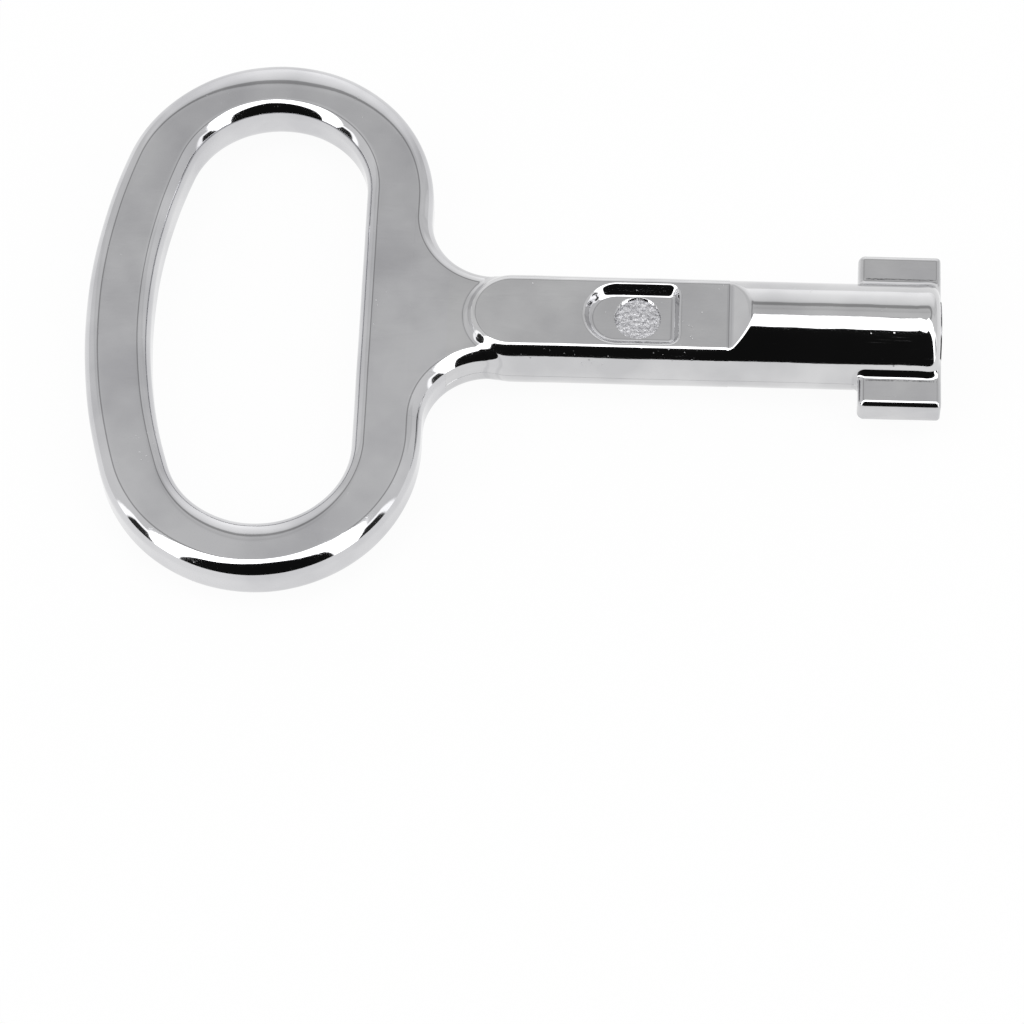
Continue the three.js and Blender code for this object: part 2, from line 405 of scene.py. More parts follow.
def oval_points(arcs_of, share):
    """One of the bow's ovals: two corner arcs and one long far arc, all tangent, and the straight
    near side. Share 0 to 1 runs round the upper corner, 1 to 2 the far side, 2 to 3 the lower
    corner and 3 to 4 the near side. The far arc's radius follows from touching both corners."""
    radius, corner_y = arcs_of["corner_r"], arcs_of["corner_y"]
    reach = arcs_of["far"] - arcs_of["near"] + radius
    side_r = (radius**2 - reach**2 - corner_y**2) / (2 * (reach + radius))
    side_x = arcs_of["far"] + side_r
    corner_x = arcs_of["near"] - radius
    turn = math.atan2(corner_y, corner_x - side_x)
    part = np.minimum(share.astype(int), 3)
    t = share - part
    angle = np.select(
        [part == 0, part == 1, part == 2],
        [turn * t, turn + (2 * math.pi - 2 * turn) * t, 2 * math.pi - turn + turn * t],
        0.0,
    )
    x = np.select(
        [part == 0, part == 1, part == 2],
        [
            corner_x + radius * np.cos(angle),
            side_x + side_r * np.cos(angle),
            corner_x + radius * np.cos(angle),
        ],
        arcs_of["near"],
    )
    y = np.select(
        [part == 0, part == 1, part == 2],
        [
            corner_y + radius * np.sin(angle),
            side_r * np.sin(angle),
            -corner_y + radius * np.sin(angle),
        ],
        -corner_y + 2 * corner_y * t,
    )
    return np.stack([x, y], -1)


def bow_ring():
    """The bow's ring: at each place round it, a section from the inner to the outer oval, flat
    above and below, with quarter-ellipse edges and a short wall on each side. Towards the hole's
    two ends its wall stands in by the first HOLE_TAPER, more at the top and less at the bottom by
    the second, times the squared Y part of the section's direction."""
    around = np.concatenate(
        [
            np.linspace(0, 1, 150, endpoint=False),
            np.linspace(1, 2, 70, endpoint=False),
            np.linspace(2, 3, 150, endpoint=False),
            np.linspace(3, 4, 60, endpoint=False),
        ]
    )
    outer = oval_points(OUTER, around)
    inner = oval_points(INNER, around)
    across = outer - inner
    width = np.linalg.norm(across, axis=1)
    unit = across / width[:, None]
    far_share = np.clip(unit[:, 1], 0, 1) ** 2
    outer_round = EDGE_ROUND + BACK_ROUND * far_share
    quarter = np.linspace(0, math.pi / 2, 18)
    flat = np.linspace(0, 1, 12)[1:-1]
    wall = np.linspace(-1, 1, 7)[1:-1] * (PLATE_Z - EDGE_ROUND)
    lift = PLATE_Z - EDGE_ROUND + EDGE_ROUND * np.sin(quarter)
    inner_round = INNER_ROUND + FRONT_ROUND * np.clip(-unit[:, 1], 0, 1) ** 2
    columns_s, columns_z = [], []
    ones = np.ones(len(around))
    for q, z in zip(quarter, lift):
        columns_s.append(inner_round * (1 - math.cos(q)))
        columns_z.append(z * ones)
    for t in flat:
        columns_s.append(inner_round + (width - outer_round - inner_round) * t)
        columns_z.append(PLATE_Z * ones)
    for q, z in zip(quarter[::-1], lift[::-1]):
        columns_s.append(width - outer_round * (1 - math.cos(q)))
        columns_z.append(z * ones)
    top_s, top_z = np.array(columns_s).T, np.array(columns_z).T
    down_s = np.tile(width[:, None], (1, len(wall)))
    down_z = np.tile(-wall[None, :], (len(around), 1))
    up_s = np.zeros((len(around), len(wall)))
    up_z = np.tile(wall[None, :], (len(around), 1))
    s = np.concatenate([top_s, down_s, top_s[:, ::-1], up_s], 1)
    z = np.concatenate([top_z, down_z, -top_z[:, ::-1], up_z], 1)
    points = np.concatenate([inner[:, None, :] + unit[:, None, :] * s[..., None], z[..., None]], -1)
    taper = HOLE_TAPER[0] + HOLE_TAPER[1] * np.clip(z / PLATE_Z, -1, 1)
    nearness = 1 - np.clip(s / width[:, None], 0, 1)
    points[..., :2] -= unit[:, None, :] * (taper * nearness * unit[:, None, 1] ** 2)[..., None]
    flat_points = points.reshape(-1, 3)
    quads = sheet_faces(len(around), s.shape[1], wrap_rows=True)
    return flat_points, quads


def settle(points, normals):
    """Moves points in by the casting's waviness along their normals."""
    wave = waviness(points[:, 0], points[:, 1], points[:, 2])
    return points - normals * wave[:, None]


def vertex_normals(points, quads):
    """Area-weighted vertex normals of a quad mesh."""
    a, b, c, d = (points[quads[:, i]] for i in range(4))
    face = np.cross(c - a, d - b)
    total = np.zeros_like(points)
    for i in range(4):
        np.add.at(total, quads[:, i], face)
    return total / np.maximum(np.linalg.norm(total, axis=1, keepdims=True), 1e-12)


def build_ring():
    """The ring's mesh, turned outwards. Its edges count as bending most where the surface leans at
    45 degrees: the product of the normal's upright and level parts."""
    points, quads = bow_ring()
    normals = vertex_normals(points, quads)
    centre = points.mean(0)
    outward = np.sign(np.sum(normals * (points - centre)))
    if outward < 0:
        quads = quads[:, ::-1]
        normals = -normals
    tilt = np.abs(normals[:, 2])
    bend = tilt * np.sqrt(1 - tilt**2)
    return make_piece("bow_ring_casting", settle(points, normals), quads, bend=bend)


def build_web():
    """The web: for each place along the side fillets, one loop over the rounded edge, across the
    upper face, down the other edge and back beneath. The last loop lies in the plane WEB_END_X."""
    steps = np.linspace(0, 1, 90)
    quarter = np.linspace(0, math.pi / 2, 22)
    inset = EDGE_ROUND * (1 - np.cos(quarter))
    lift = PLATE_Z - EDGE_ROUND + EDGE_ROUND * np.sin(quarter)
    reach = WEB_FILLET_R + inset
    end = np.arccos(np.clip((WEB_END_X - WEB_FILLET_X) / reach, -1, 1))
    angle = math.pi + (end - math.pi) * steps[:, None]
    edge_x = WEB_FILLET_X + reach * np.cos(angle)
    edge_y = WEB_FILLET_Y - reach * np.sin(angle)
    edge_z = np.tile(lift, (len(steps), 1))
    side = np.linspace(-1, 1, 8)[1:-1] * (PLATE_Z - EDGE_ROUND)
    across = np.linspace(1, -1, 60)[1:-1]

    def stack(x, y, z):
        return np.stack([x, y, z], -1)

    flat_x = np.tile(edge_x[:, -1:], (1, len(across)))
    flat_y = edge_y[:, -1:] * across[None, :]
    level = np.full(flat_x.shape, PLATE_Z)
    wall_x = np.tile(edge_x[:, :1], (1, len(side)))
    wall_y = np.tile(edge_y[:, :1], (1, len(side)))
    wall_z = np.tile(side, (len(steps), 1))
    loop = np.concatenate(
        [
            stack(edge_x, edge_y, edge_z),
            stack(flat_x, flat_y, level),
            stack(edge_x, -edge_y, edge_z)[:, ::-1],
            stack(wall_x, -wall_y, -wall_z),
            stack(edge_x, -edge_y, -edge_z),
            stack(flat_x, -flat_y, -level),
            stack(edge_x, edge_y, -edge_z)[:, ::-1],
            stack(wall_x, wall_y, wall_z),
        ],
        1,
    )
    rows, columns = loop.shape[:2]
    middle = loop.reshape(-1, 3)
    normals = slope_of(web_metal, middle)
    moved = settle(middle, normals).reshape(rows, columns, 3)
    ends = [OUTER["near"] - EDGE_ROUND, 0, 0], [WEB_END_X, 0, 0]
    bend = bend_of(web_metal, moved)
    return loops_to_piece("web_casting", moved, normals.reshape(rows, columns, 3), *ends, bend=bend)


def round_bar_fan():
    """Start points and directions of the rays that find the bar's surface, once round its section:
    straight up over the flat, a quarter turn about each end of a line FAN_Y to either side, and
    straight down below. Upright rays follow the recess and its pit without crossing, and crowd
    together at its walls and at the flat's edges."""
    quarter = dense(0, math.pi / 2, 61, [(math.radians(86), math.radians(4), 8)])[:-1]
    walls = [(2.8, 0.3, 3), (2.1, 0.2, 2), (-2.1, 0.2, 2), (-2.8, 0.3, 3)]
    level = dense(FAN_Y, -FAN_Y, 131, walls)[:-1]
    under = np.linspace(-FAN_Y, FAN_Y, 31)[:-1]
    half = math.pi / 2
    below = np.linspace(0, half, 41)[:-1]
    angle = np.concatenate(
        [
            quarter,
            np.full(level.size, half),
            half + (half - quarter)[::-1],
            2 * half + below,
            np.full(under.size, 3 * half),
            3 * half + below,
        ]
    )
    start = np.concatenate(
        [
            np.full(quarter.size, FAN_Y),
            level,
            np.full(quarter.size + below.size, -FAN_Y),
            under,
            np.full(below.size, FAN_Y),
        ]
    )
    return start, np.stack([np.zeros_like(angle), np.cos(angle), np.sin(angle)], -1)


def along_bar(metal, places, reach):
    """Rays of the fan at each place along the X axis: their start points, their directions and how
    far along each the metal's surface is."""
    start, direction = round_bar_fan()
    shape = (len(places), len(start))
    origin = np.zeros(shape + (3,))
    origin[..., 0] = np.asarray(places)[:, None]
    origin[..., 1] = start
    direction = np.broadcast_to(direction, shape + (3,))
    distance = cast_out(metal, origin, direction, np.full(shape, reach))
    return origin, direction, distance


def build_shank():
    """The shank with its stepped bow end: loops from the web's last plane to the flats' end."""
    step = [(-4.0, 1.0, 2.0), (-0.5, 2.0, 0.5)]
    recess = [(6.6, 0.5, 3), (9.1, 0.3, 2), (12.9, 0.3, 2), (14.4, 0.5, 3)]
    places = dense(WEB_END_X, FLAT_END_X, 265, step + recess)
    origin, direction, distance = along_bar(shank_metal, places, BAR_REACH)
    loops = origin + direction * distance[..., None]
    normals = slope_of(shank_metal, loops)
    bend = bend_of(shank_metal, loops)
    ends = [WEB_END_X, 0, 0], [FLAT_END_X, 0, 0]
    return loops_to_piece("shank_casting", loops, normals, *ends, bend=bend)


def build_barrel():
    """The barrel: loops along it and over the domed rim, then circles for the flat end face, the
    chamfered mouth, the bore and its shallow point. It is cut level where the bits take over."""
    spots = [(FLAT_END_X, 0.5, 3), (20.5, 1.0, 1), (30.2, 1.2, 2), (TIP_X, 1.5, 3)]
    rim_turn = np.linspace(0, math.pi / 2, 44)[1:-1]
    dome_places = TIP_X - DOME_RUN * (1 - np.sin(rim_turn))
    places = np.concatenate([dense(FLAT_END_X, TIP_X - DOME_RUN, 175, spots), dome_places])
    origin, direction, distance = along_bar(tip_metal, places, BARREL_REACH)
    sideways = np.abs(direction[..., 1])
    to_cut = (BARREL_CUT_Y - FAN_Y) / np.maximum(sideways, TINY)
    limit = np.where(sideways > TINY, to_cut, NO_LIMIT)
    cut = distance > limit
    loops = origin + direction * np.minimum(distance, limit)[..., None]
    normals = slope_of(tip_metal, loops)
    level_cut = np.sign(direction[..., 1:2]) * np.array([0.0, 1.0, 0.0])
    normals = np.where(cut[..., None], level_cut, normals)
    rim = loops[-1]
    circle = rim * np.array([0, 1, 1]) / np.linalg.norm(rim[:, 1:], axis=1, keepdims=True)
    mouth = BORE_R + BORE_CHAMFER
    rows, row_normals = [], []

    def add_row(points, forward, outward):
        normal = circle * outward + np.array([forward, 0, 0])
        rows.append(points)
        row_normals.append(normal / np.linalg.norm(normal, axis=1, keepdims=True))

    def add_circle(x, radius, forward, outward):
        add_row(circle * radius + np.array([x, 0, 0]), forward, outward)

    lip = circle * mouth + np.array([TIP_X, 0, 0])
    for share in np.linspace(0, 1, 6)[1:]:
        add_row(rim + (lip - rim) * share, 1.0, 0.0)
    for turn in np.linspace(0, math.pi / 2, 6)[1:]:
        back_off = BORE_CHAMFER * (1 - math.cos(turn))
        radius = BORE_R + BORE_CHAMFER * (1 - math.sin(turn))
        add_circle(TIP_X - back_off, radius, math.cos(turn), -math.sin(turn))
    for x in np.linspace(TIP_X - BORE_CHAMFER, BORE_END_X, 24)[1:]:
        add_circle(x, BORE_R, 0.0, -1.0)
    for share in np.linspace(0, 1, 8)[1:-1]:
        add_circle(BORE_END_X - BORE_POINT * share, BORE_R * (1 - share), 1.0, -BORE_POINT / BORE_R)
    every_loop = np.concatenate([loops, np.array(rows)])
    every_normal = np.concatenate([normals, np.array(row_normals)])
    ends = [FLAT_END_X, 0, 0], [BORE_END_X - BORE_POINT, 0, 0]
    bend = bend_of(tip_metal, loops)
    return loops_to_piece("barrel_casting", every_loop, every_normal, *ends, bend=bend)


def build_bit(side):
    """A bit: loops round an axis along Y, from inside the barrel's fillet out to the end face, on
    the +Y side for 1 and the -Y side for -1."""
    angles = np.linspace(0, 2 * math.pi, 200, endpoint=False)
    end_turn = np.linspace(0, math.pi / 2, 14)[1:]
    heights = np.concatenate(
        [
            dense(BIT_START_Y, BIT_SPAN - BIT_ROUND, 50, [(5.0, 0.5, 2)]),
            BIT_SPAN - BIT_ROUND * (1 - np.sin(end_turn)),
        ]
    )
    y, turn = np.meshgrid(heights * side, angles, indexing="ij")
    direction = np.stack([np.cos(turn), np.zeros_like(y), np.sin(turn)], -1)
    origin = np.stack([np.full_like(y, BIT_X), y, np.zeros_like(y)], -1)
    distance = cast_out(tip_metal, origin, direction, np.full(y.shape, BIT_REACH))
    loops = origin + direction * distance[..., None]
    normals = slope_of(tip_metal, loops)
    name = "bit_left_casting" if side > 0 else "bit_right_casting"
    ends = [BIT_X, BIT_START_Y * side, 0], [BIT_X, BIT_SPAN * side, 0]
    bend = bend_of(tip_metal, loops)
    piece = loops_to_piece(name, loops, None, *ends, flip=side > 0, bend=bend)
    poles = np.array([[0, -side, 0], [0, side, 0]], float)
    every = np.concatenate([normals.reshape(-1, 3), poles])
    piece.data.normals_split_custom_set_from_vertices(every.tolist())
    return piece


def grain(x, y, seed, count, size, spread):
    """Random soft grains: the sum of bell-shaped bumps and dents at random places in a circle."""
    random = np.random.default_rng(seed)
    total = np.zeros_like(x)
    for _ in range(count):
        angle = random.uniform(0, 2 * math.pi)
        radius = spread * math.sqrt(random.uniform(0, 1))
        cx, cy = radius * math.cos(angle), radius * math.sin(angle)
        width = size * random.uniform(0.6, 1.5)
        total += random.uniform(-0.6, 1.0) * np.exp(-((x - cx) ** 2 + (y - cy) ** 2) / width**2)
    return total


def build_mark():
    """The sunken rough disc: a round sheet of random grains over a flat underside. The grains fade
    out towards the rim."""
    rows, columns = 60, 150
    radius = np.linspace(0, 1, rows + 1)[1:] * (PIT_R - MARK_GAP)
    angle = np.linspace(0, 2 * math.pi, columns, endpoint=False)
    r, a = np.meshgrid(radius, angle, indexing="ij")
    x, y = r * np.cos(a), r * np.sin(a)
    rough = grain(x, y, seed=5, count=420, size=MARK_GRAIN, spread=PIT_R)
    edge = np.clip((PIT_R - r) / MARK_FADE, 0, 1)
    z = mark_high[2] - MARK_SINK + MARK_RELIEF * rough * edge
    top = np.stack([MARK_X + x, y, z], -1)
    under_z = PIT_FLOOR - MARK_ROOT
    under = np.stack([MARK_X + x[-1], y[-1], np.full(columns, under_z)], -1)[None]
    loops = np.concatenate([top, under])
    ends = [MARK_X, 0, float(z[0].mean())], [MARK_X, 0, under_z]
    return loops_to_piece("mark_casting", loops, None, *ends, flip=True)


# ---------------------------------------------------------------------------
# Finishes
# ---------------------------------------------------------------------------


def linear(code):
    """sRGB hex colour turned to linear red, green, blue and full cover."""
    parts = [int(code[i : i + 2], 16) / 255 for i in (1, 3, 5)]
    return (*[p / 12.92 if p <= 0.04045 else ((p + 0.055) / 1.055) ** 2.4 for p in parts], 1.0)


def add_node(tree, kind, inputs=None, **properties):
    """Adds one node: properties on the node itself, and for each input either a value or a link."""
    node = tree.nodes.new(kind)
    for key, value in properties.items():
        setattr(node, key, value)
    for key, value in (inputs or {}).items():
        if isinstance(value, bpy.types.NodeSocket):
            tree.links.new(value, node.inputs[key])
        else:
            node.inputs[key].default_value = value
    return node


def per_mm(size):
    """Texture scale whose features are about size millimetres apart."""
    return 1 / (size * MM)


def plated_zinc(name, tone, dull_and_painted_shade_tone, polish, grit_height=0.006):
    """Bright nickel-chrome plate, about 0.01 mm thick, on a polished zinc die casting: a mirror
    with a faint orange peel, hazy flow marks that the mould left, pinholes and grit caught in the
    plating, hairline scratches from use, edges rubbed a little dull, and painted shade that darkens
    the colour in hollows. Heights are in millimetres."""
    material = bpy.data.materials.new(name)
    material.use_nodes = True
    tree = material.node_tree
    tree.nodes.clear()
    place = add_node(tree, "ShaderNodeTexCoord").outputs["Object"]

    # Flow marks: streaks about 2.4 mm apart, drawn out along the key, that haze the mirror.
    along = add_node(
        tree,
        "ShaderNodeMapping",
        {"Vector": place, "Rotation": (0, 0, 0.35), "Scale": (0.22, 1, 1)},
    )
    flow = add_node(
        tree,
        "ShaderNodeTexNoise",
        {
            "Vector": along.outputs[0],
            "Scale": per_mm(2.4),
            "Detail": 5,
            "Roughness": 0.6,
            "Distortion": 0.8,
        },
    ).outputs[0]
    haze = add_node(
        tree,
        "ShaderNodeMapRange",
        {"Value": flow, "From Min": 0.46, "From Max": 0.72, "To Max": 1.0},
    ).outputs[0]

    # Clouds about 7 mm across where the plate is a little duller, and orange peel of 1.1 mm.
    cloud = add_node(
        tree, "ShaderNodeTexNoise", {"Vector": place, "Scale": per_mm(7), "Detail": 3}
    ).outputs[0]
    peel = add_node(
        tree, "ShaderNodeTexNoise", {"Vector": place, "Scale": per_mm(1.1), "Detail": 2}
    ).outputs[0]

    # Grit and pinholes, about 0.55 mm apart, in patches of 5 mm. Real ones are finer and would
    # not show.
    pores = add_node(
        tree,
        "ShaderNodeTexVoronoi",
        {"Vector": place, "Scale": per_mm(0.55), "Randomness": 1.0},
    )
    pore = add_node(
        tree,
        "ShaderNodeMapRange",
        {
            "Value": pores.outputs["Distance"],
            "From Min": 0.16,
            "From Max": 0.06,
            "To Max": 1.0,
        },
    ).outputs[0]
    patches = add_node(
        tree, "ShaderNodeTexNoise", {"Vector": place, "Scale": per_mm(5), "Detail": 4}
    )
    patch = add_node(
        tree,
        "ShaderNodeMapRange",
        {"Value": patches.outputs[0], "From Min": 0.54, "From Max": 0.64, "To Max": 1.0},
    ).outputs[0]
    grit = add_node(
        tree, "ShaderNodeMath", {0: pore, 1: patch}, operation="MULTIPLY"
    ).outputs[0]

    # Hairlines: noise 0.16 mm apart, drawn out thirty times along one slanting direction.
    lean = add_node(
        tree,
        "ShaderNodeMapping",
        {"Vector": place, "Rotation": (0.2, 0.1, 0.6), "Scale": (0.03, 1, 1)},
    )
    hairs = add_node(
        tree,
        "ShaderNodeTexNoise",
        {"Vector": lean.outputs[0], "Scale": per_mm(0.16), "Detail": 1},
    )
    hair = add_node(
        tree,
        "ShaderNodeMapRange",
        {"Value": hairs.outputs[0], "From Min": 0.70, "From Max": 0.76, "To Max": 1.0},
    ).outputs[0]

    # Rubbed edges, as roughness, and painted shade in hollows, which darkens the colour, from the
    # mesh's own "edge" attribute.
    edge = add_node(tree, "ShaderNodeAttribute", attribute_name="edge").outputs["Fac"]
    rub = add_node(
        tree,
        "ShaderNodeMapRange",
        {"Value": edge, "From Min": 0.35, "From Max": 1.6, "To Max": 1.0},
    ).outputs[0]
    hollow = add_node(
        tree,
        "ShaderNodeMapRange",
        {"Value": edge, "From Min": -0.3, "From Max": -1.8, "To Max": 1.0},
    ).outputs[0]

    shade = add_node(
        tree,
        "ShaderNodeMapRange",
        {"Value": cloud, "From Min": 0.38, "From Max": 0.66, "To Max": 0.8},
    ).outputs[0]
    # Painted shade: the colour is darkened towards the dull tone in hollows, on top of the duller
    # clouds.
    painted_shade_and_dull_clouds = add_node(
        tree, "ShaderNodeMath", {0: hollow, 1: 0.6, 2: shade}, operation="MULTIPLY_ADD"
    ).outputs[0]
    colour = add_node(
        tree,
        "ShaderNodeMix",
        {0: painted_shade_and_dull_clouds, 6: linear(tone), 7: linear(dull_and_painted_shade_tone)},
        data_type="RGBA",
    )

    # Roughness: the polish, plus a share of each flaw.
    rough = polish
    for flaw, share in ((haze, 0.05), (rub, 0.03), (grit, 0.4), (hair, 0.12)):
        rough = add_node(
            tree, "ShaderNodeMath", {0: flaw, 1: share, 2: rough}, operation="MULTIPLY_ADD"
        ).outputs[0]

    peel_bump = add_node(
        tree,
        "ShaderNodeBump",
        {"Height": peel, "Strength": 1.0, "Distance": 0.0022 * MM},
    ).outputs[0]
    flow_bump = add_node(
        tree,
        "ShaderNodeBump",
        {"Height": flow, "Strength": 1.0, "Distance": 0.004 * MM, "Normal": peel_bump},
    ).outputs[0]
    grit_bump = add_node(
        tree,
        "ShaderNodeBump",
        {
            "Height": grit,
            "Strength": 1.0,
            "Distance": grit_height * MM,
            "Normal": flow_bump,
        },
        invert=True,
    ).outputs[0]
    metal = add_node(
        tree,
        "ShaderNodeBsdfPrincipled",
        {
            "Base Color": colour.outputs[2],
            "Metallic": 1.0,
            "Roughness": rough,
            "Normal": grit_bump,
        },
    )
    add_node(tree, "ShaderNodeOutputMaterial", {"Surface": metal.outputs["BSDF"]})
    return material


def cast_mark(name):
    """The mark's rough floor: plate over metal that nobody could polish, so it keeps the grain of
    the mould, about 0.2 to 0.3 mm, dull and sparkling at once."""
    material = bpy.data.materials.new(name)
    material.use_nodes = True
    tree = material.node_tree
    tree.nodes.clear()
    place = add_node(tree, "ShaderNodeTexCoord").outputs["Object"]
    lumps = add_node(
        tree,
        "ShaderNodeTexNoise",
        {"Vector": place, "Scale": per_mm(0.3), "Detail": 6, "Roughness": 0.7},
    ).outputs[0]
    facets = add_node(
        tree, "ShaderNodeTexVoronoi", {"Vector": place, "Scale": per_mm(0.22)}
    ).outputs["Distance"]
    coarse = add_node(
        tree,
        "ShaderNodeBump",
        {"Height": lumps, "Strength": 1.0, "Distance": 0.09 * MM},
    ).outputs[0]
    fine = add_node(
        tree,
        "ShaderNodeBump",
        {"Height": facets, "Strength": 1.0, "Distance": 0.03 * MM, "Normal": coarse},
    ).outputs[0]
    tint = add_node(
        tree,
        "ShaderNodeMapRange",
        {"Value": lumps, "From Min": 0.35, "From Max": 0.65, "To Max": 1.0},
    ).outputs[0]
    colour = add_node(
        tree,
        "ShaderNodeMix",
        {0: tint, 6: linear("#9c9ca0"), 7: linear("#d3d3d5")},
        data_type="RGBA",
    )
    rough = add_node(
        tree,
        "ShaderNodeMapRange",
        {"Value": facets, "From Max": 0.8, "To Min": 0.18, "To Max": 0.5},
    )
    metal = add_node(
        tree,
        "ShaderNodeBsdfPrincipled",
        {
            "Base Color": colour.outputs[2],
            "Metallic": 1.0,
            "Roughness": rough.outputs[0],
            "Normal": fine,
        },
    )
    add_node(tree, "ShaderNodeOutputMaterial", {"Surface": metal.outputs["BSDF"]})
    return material


pieces = {
    "bow_ring": build_ring(),
    "web": build_web(),
    "shank": build_shank(),
    "barrel": build_barrel(),
    "bit_left": build_bit(1),
    "bit_right": build_bit(-1),
    "mark_disc": build_mark(),
}
# Tone, tone of the duller clouds and of the painted shade in hollows, roughness of the polish,
# height of the grit in mm
BOW_FINISH = ("#d3d3d5", "#bebec1", 0.05)
BIT_FINISH = ("#cececf", "#bebec1", 0.05)
finishes = {
    "bow_ring": plated_zinc("chrome_on_hand_polished_bow", *BOW_FINISH),
    "web": plated_zinc("chrome_on_hand_polished_web", *BOW_FINISH),
    "shank": plated_zinc("chrome_on_cast_shank", "#d3d3d4", "#c0c0c2", 0.042),
    "barrel": plated_zinc("chrome_on_turned_barrel", "#d3d3d4", "#c0c0c2", 0.038, 0.014),
    "bit_left": plated_zinc("chrome_on_cast_left_bit", *BIT_FINISH),
    "bit_right": plated_zinc("chrome_on_cast_right_bit", *BIT_FINISH),
    "mark_disc": cast_mark("chrome_on_rough_cast_mark"),
}
for node, piece in pieces.items():
    piece.data.materials.append(finishes[node])
    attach(piece, "root")
    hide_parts(node)

# ---------------------------------------------------------------------------
# Stage, light and camera
# ---------------------------------------------------------------------------

FLOOR_REACH = 3.0
FLOOR_GLOW = 0.94
FLOOR_WHITE = 0.05


def studio_floor():
    """A plain white sheet under the key, lit from within so that it shows next to no shadow."""
    mesh = bpy.data.meshes.new("studio_floor")
    corners = [(-1, -1), (1, -1), (1, 1), (-1, 1)]
    points = [(x * FLOOR_REACH, y * FLOOR_REACH, cad_low.z) for x, y in corners]
    mesh.from_pydata(points, [], [(0, 1, 2, 3)])
    floor = bpy.data.objects.new("studio_floor", mesh)
    bpy.context.scene.collection.objects.link(floor)
    material = bpy.data.materials.new("lit_white_sheet")
    material.use_nodes = True
    material.node_tree.nodes.clear()
    tree = material.node_tree
    glow = add_node(tree, "ShaderNodeEmission", {"Color": (1, 1, 1, 1), "Strength": FLOOR_GLOW})
    white = (FLOOR_WHITE, FLOOR_WHITE, FLOOR_WHITE, 1)
    sheet = add_node(tree, "ShaderNodeBsdfDiffuse", {"Color": white})
    both = add_node(tree, "ShaderNodeAddShader", {0: glow.outputs[0], 1: sheet.outputs[0]})
    add_node(tree, "ShaderNodeOutputMaterial", {"Surface": both.outputs[0]})
    mesh.materials.append(material)


# Light levels of the studio, with 1 for the floor. Each sheet is a region of the sky bounded by
# planes through the key: a plane is (weight of |x|, weight of y, weight of z), over zero on its
# near side.
BLACK_LEVEL = 0.007
SOFTBOX_LEVEL = 3.0
SIDE_BLACK_LEVEL = 0.03
SIDE_GLOW_LEVEL = 1.6
FRONT_SECTOR = (-1.13, -1.0, 0.0)
FRONT_TOP = (-0.8, -1.0, -0.176)
SOFTBOX_EDGE = (-0.68, -1.0, 0.305)
SIDE_SECTOR = (-0.26, -1.0, 0.0)
SIDE_TOP = (0.36, 0.0, -0.55)
SIDE_GLOW = (0.52, 0.0, -0.55)
SIDE_GLOW_SECTOR = (-0.12, -1.0, 0.0)
BACK_SECTOR = (-1.11, 1.0, 0.0)
BACK_TOP = (0.0, 1.13, -1.0)
# Walls and back: light level by depth into the back region
BACK_LEVELS = (
    (-1.0, 0.80),
    (-0.42, 0.82),
    (-0.35, 0.80),
    (-0.30, 0.71),
    (-0.12, 0.76),
    (0.03, 0.72),
    (0.08, 0.74),
    (0.30, 0.94),
    (0.45, 1.03),
    (0.75, 1.15),
    (1.13, 1.4),
)
# The grey hood above the key: its direction, and its share of the light by degrees from there
HOOD = (-0.07, 0.468, 0.881)
HOOD_LEVELS = (
    (0.0, 0.84),
    (10.0, 0.88),
    (12.6, 0.84),
    (13.6, 0.50),
    (20.0, 0.50),
    (21.5, 0.95),
    (24.0, 1.0),
)


def fill_ramp(ramp, stops):
    """Sets a colour ramp's stops from (position, grey level)."""
    elements = ramp.color_ramp.elements
    for i, (spot, level) in enumerate(stops):
        element = elements[i] if i < 2 else elements.new(1.0)
        element.position = spot
        element.color = (level, level, level, 1)


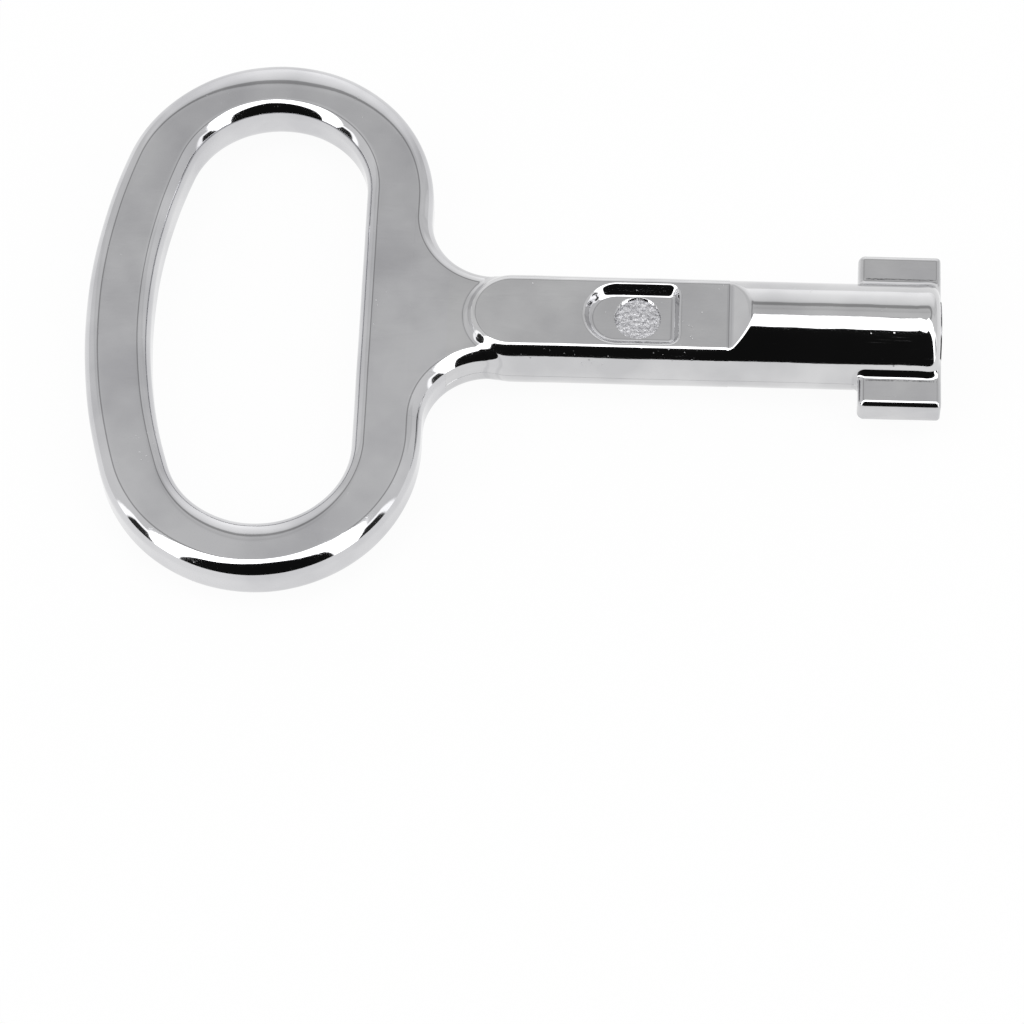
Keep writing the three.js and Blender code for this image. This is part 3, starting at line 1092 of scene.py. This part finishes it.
def studio_world():
    """The studio as light by direction: a black card in front, a bright softbox bent over the key
    and round the card, a smaller black card beyond it on each side with a bright strip behind it,
    grey walls, a pale back wall and a grey hood with a darker rim above. The camera itself sees
    plain white."""
    world = bpy.data.worlds.new("studio")
    bpy.context.scene.world = world
    world.use_nodes = True
    tree = world.node_tree
    tree.nodes.clear()
    place = add_node(tree, "ShaderNodeTexCoord").outputs["Generated"]
    size = add_node(tree, "ShaderNodeVectorMath", {0: place}, operation="ABSOLUTE").outputs[0]
    x = add_node(tree, "ShaderNodeSeparateXYZ", {0: size}).outputs[0]
    _, y, z = add_node(tree, "ShaderNodeSeparateXYZ", {0: place}).outputs
    folded = add_node(tree, "ShaderNodeCombineXYZ", {0: x, 1: y, 2: z}).outputs[0]

    def region(planes, softness):
        """Depth into the region on the near side of every plane, and its cover with a soft
        border."""
        depth = None
        for plane in planes:
            near = add_node(
                tree, "ShaderNodeVectorMath", {0: folded, 1: plane}, operation="DOT_PRODUCT"
            ).outputs[1]
            if depth is None:
                depth = near
            else:
                depth = add_node(
                    tree, "ShaderNodeMath", {0: depth, 1: near}, operation="MINIMUM"
                ).outputs[0]
        cover = add_node(
            tree,
            "ShaderNodeMapRange",
            {"Value": depth, "From Min": -softness, "From Max": softness, "To Max": 1.0},
            interpolation_type="SMOOTHSTEP",
        )
        return depth, cover.outputs[0]

    back, _ = region([BACK_SECTOR, BACK_TOP], 0.01)
    low, high = BACK_LEVELS[0][0], BACK_LEVELS[-1][0]
    share = add_node(
        tree, "ShaderNodeMapRange", {"Value": back, "From Min": low, "From Max": high}
    ).outputs[0]
    ramp = add_node(tree, "ShaderNodeValToRGB", {0: share})
    # A colour ramp holds levels up to 1, so these are halved here and doubled after it.
    fill_ramp(ramp, [((depth - low) / (high - low), level / 2) for depth, level in BACK_LEVELS])
    light = add_node(
        tree, "ShaderNodeVectorMath", {0: ramp.outputs[0], "Scale": 2.0}, operation="SCALE"
    ).outputs[0]
    hood = add_node(
        tree, "ShaderNodeVectorMath", {0: place, 1: HOOD}, operation="DOT_PRODUCT"
    ).outputs[1]
    away = add_node(tree, "ShaderNodeMath", {0: hood}, operation="ARCCOSINE").outputs[0]
    widest = math.radians(HOOD_LEVELS[-1][0])
    spread = add_node(tree, "ShaderNodeMapRange", {"Value": away, "From Max": widest}).outputs[0]
    hood_ramp = add_node(tree, "ShaderNodeValToRGB", {0: spread})
    fill_ramp(hood_ramp, [(math.radians(angle) / widest, level) for angle, level in HOOD_LEVELS])
    light = add_node(
        tree,
        "ShaderNodeVectorMath",
        {0: light, 1: hood_ramp.outputs[0]},
        operation="MULTIPLY",
    ).outputs[0]
    layers = (
        ([SIDE_GLOW_SECTOR, SIDE_GLOW], 0.03, SIDE_GLOW_LEVEL),
        ([SIDE_SECTOR, SIDE_TOP], 0.02, SIDE_BLACK_LEVEL),
        ([SOFTBOX_EDGE], 0.02, SOFTBOX_LEVEL),
        ([FRONT_SECTOR, FRONT_TOP], 0.015, BLACK_LEVEL),
    )
    for planes, softness, level in layers:
        _, cover = region(planes, softness)
        mix = add_node(
            tree,
            "ShaderNodeMix",
            {0: cover, 6: light, 7: (level, level, level, 1)},
            data_type="RGBA",
        )
        light = mix.outputs[2]
    studio = add_node(tree, "ShaderNodeBackground", {"Color": light}).outputs[0]
    plain = add_node(tree, "ShaderNodeBackground", {"Color": (1, 1, 1, 1)}).outputs[0]
    ray = add_node(tree, "ShaderNodeLightPath").outputs["Is Camera Ray"]
    mixed = add_node(tree, "ShaderNodeMixShader", {0: ray, 1: studio, 2: plain})
    add_node(tree, "ShaderNodeOutputWorld", {"Surface": mixed.outputs[0]})


# Camera: where it stands as seen from the key's centre, how far it leans, its distance in metres,
# its lens in millimetres and its shift
ELEVATION = math.radians(61.47)
AZIMUTH = math.radians(4.5)
ROLL = math.radians(-2.5)
DISTANCE = 0.4096
LENS = 163.8
SENSOR = 36
CENTRE_SHIFT = (-0.0004, -0.1794)


def place_camera():
    """Puts the camera out along its direction from the key's centre and faces it back there, level
    but for the roll."""
    out = Vector(
        (
            math.sin(AZIMUTH) * math.cos(ELEVATION),
            -math.cos(AZIMUTH) * math.cos(ELEVATION),
            math.sin(ELEVATION),
        )
    )
    level = Vector((math.cos(AZIMUTH), math.sin(AZIMUTH), 0))
    steep = out.cross(level)
    right = level * math.cos(ROLL) + steep * math.sin(ROLL)
    up = steep * math.cos(ROLL) - level * math.sin(ROLL)
    data = bpy.data.cameras.new("camera")
    camera = bpy.data.objects.new("camera", data)
    bpy.context.scene.collection.objects.link(camera)
    bpy.context.scene.camera = camera
    data.sensor_width = SENSOR
    data.lens = LENS
    data.shift_x, data.shift_y = CENTRE_SHIFT
    data.clip_start = 0.01
    data.clip_end = 20
    camera.location = out * DISTANCE
    camera.rotation_mode = "QUATERNION"
    camera.rotation_quaternion = Matrix((right, up, out)).transposed().to_quaternion()


studio_floor()
studio_world()
place_camera()
bpy.context.scene.view_settings.view_transform = "Standard"
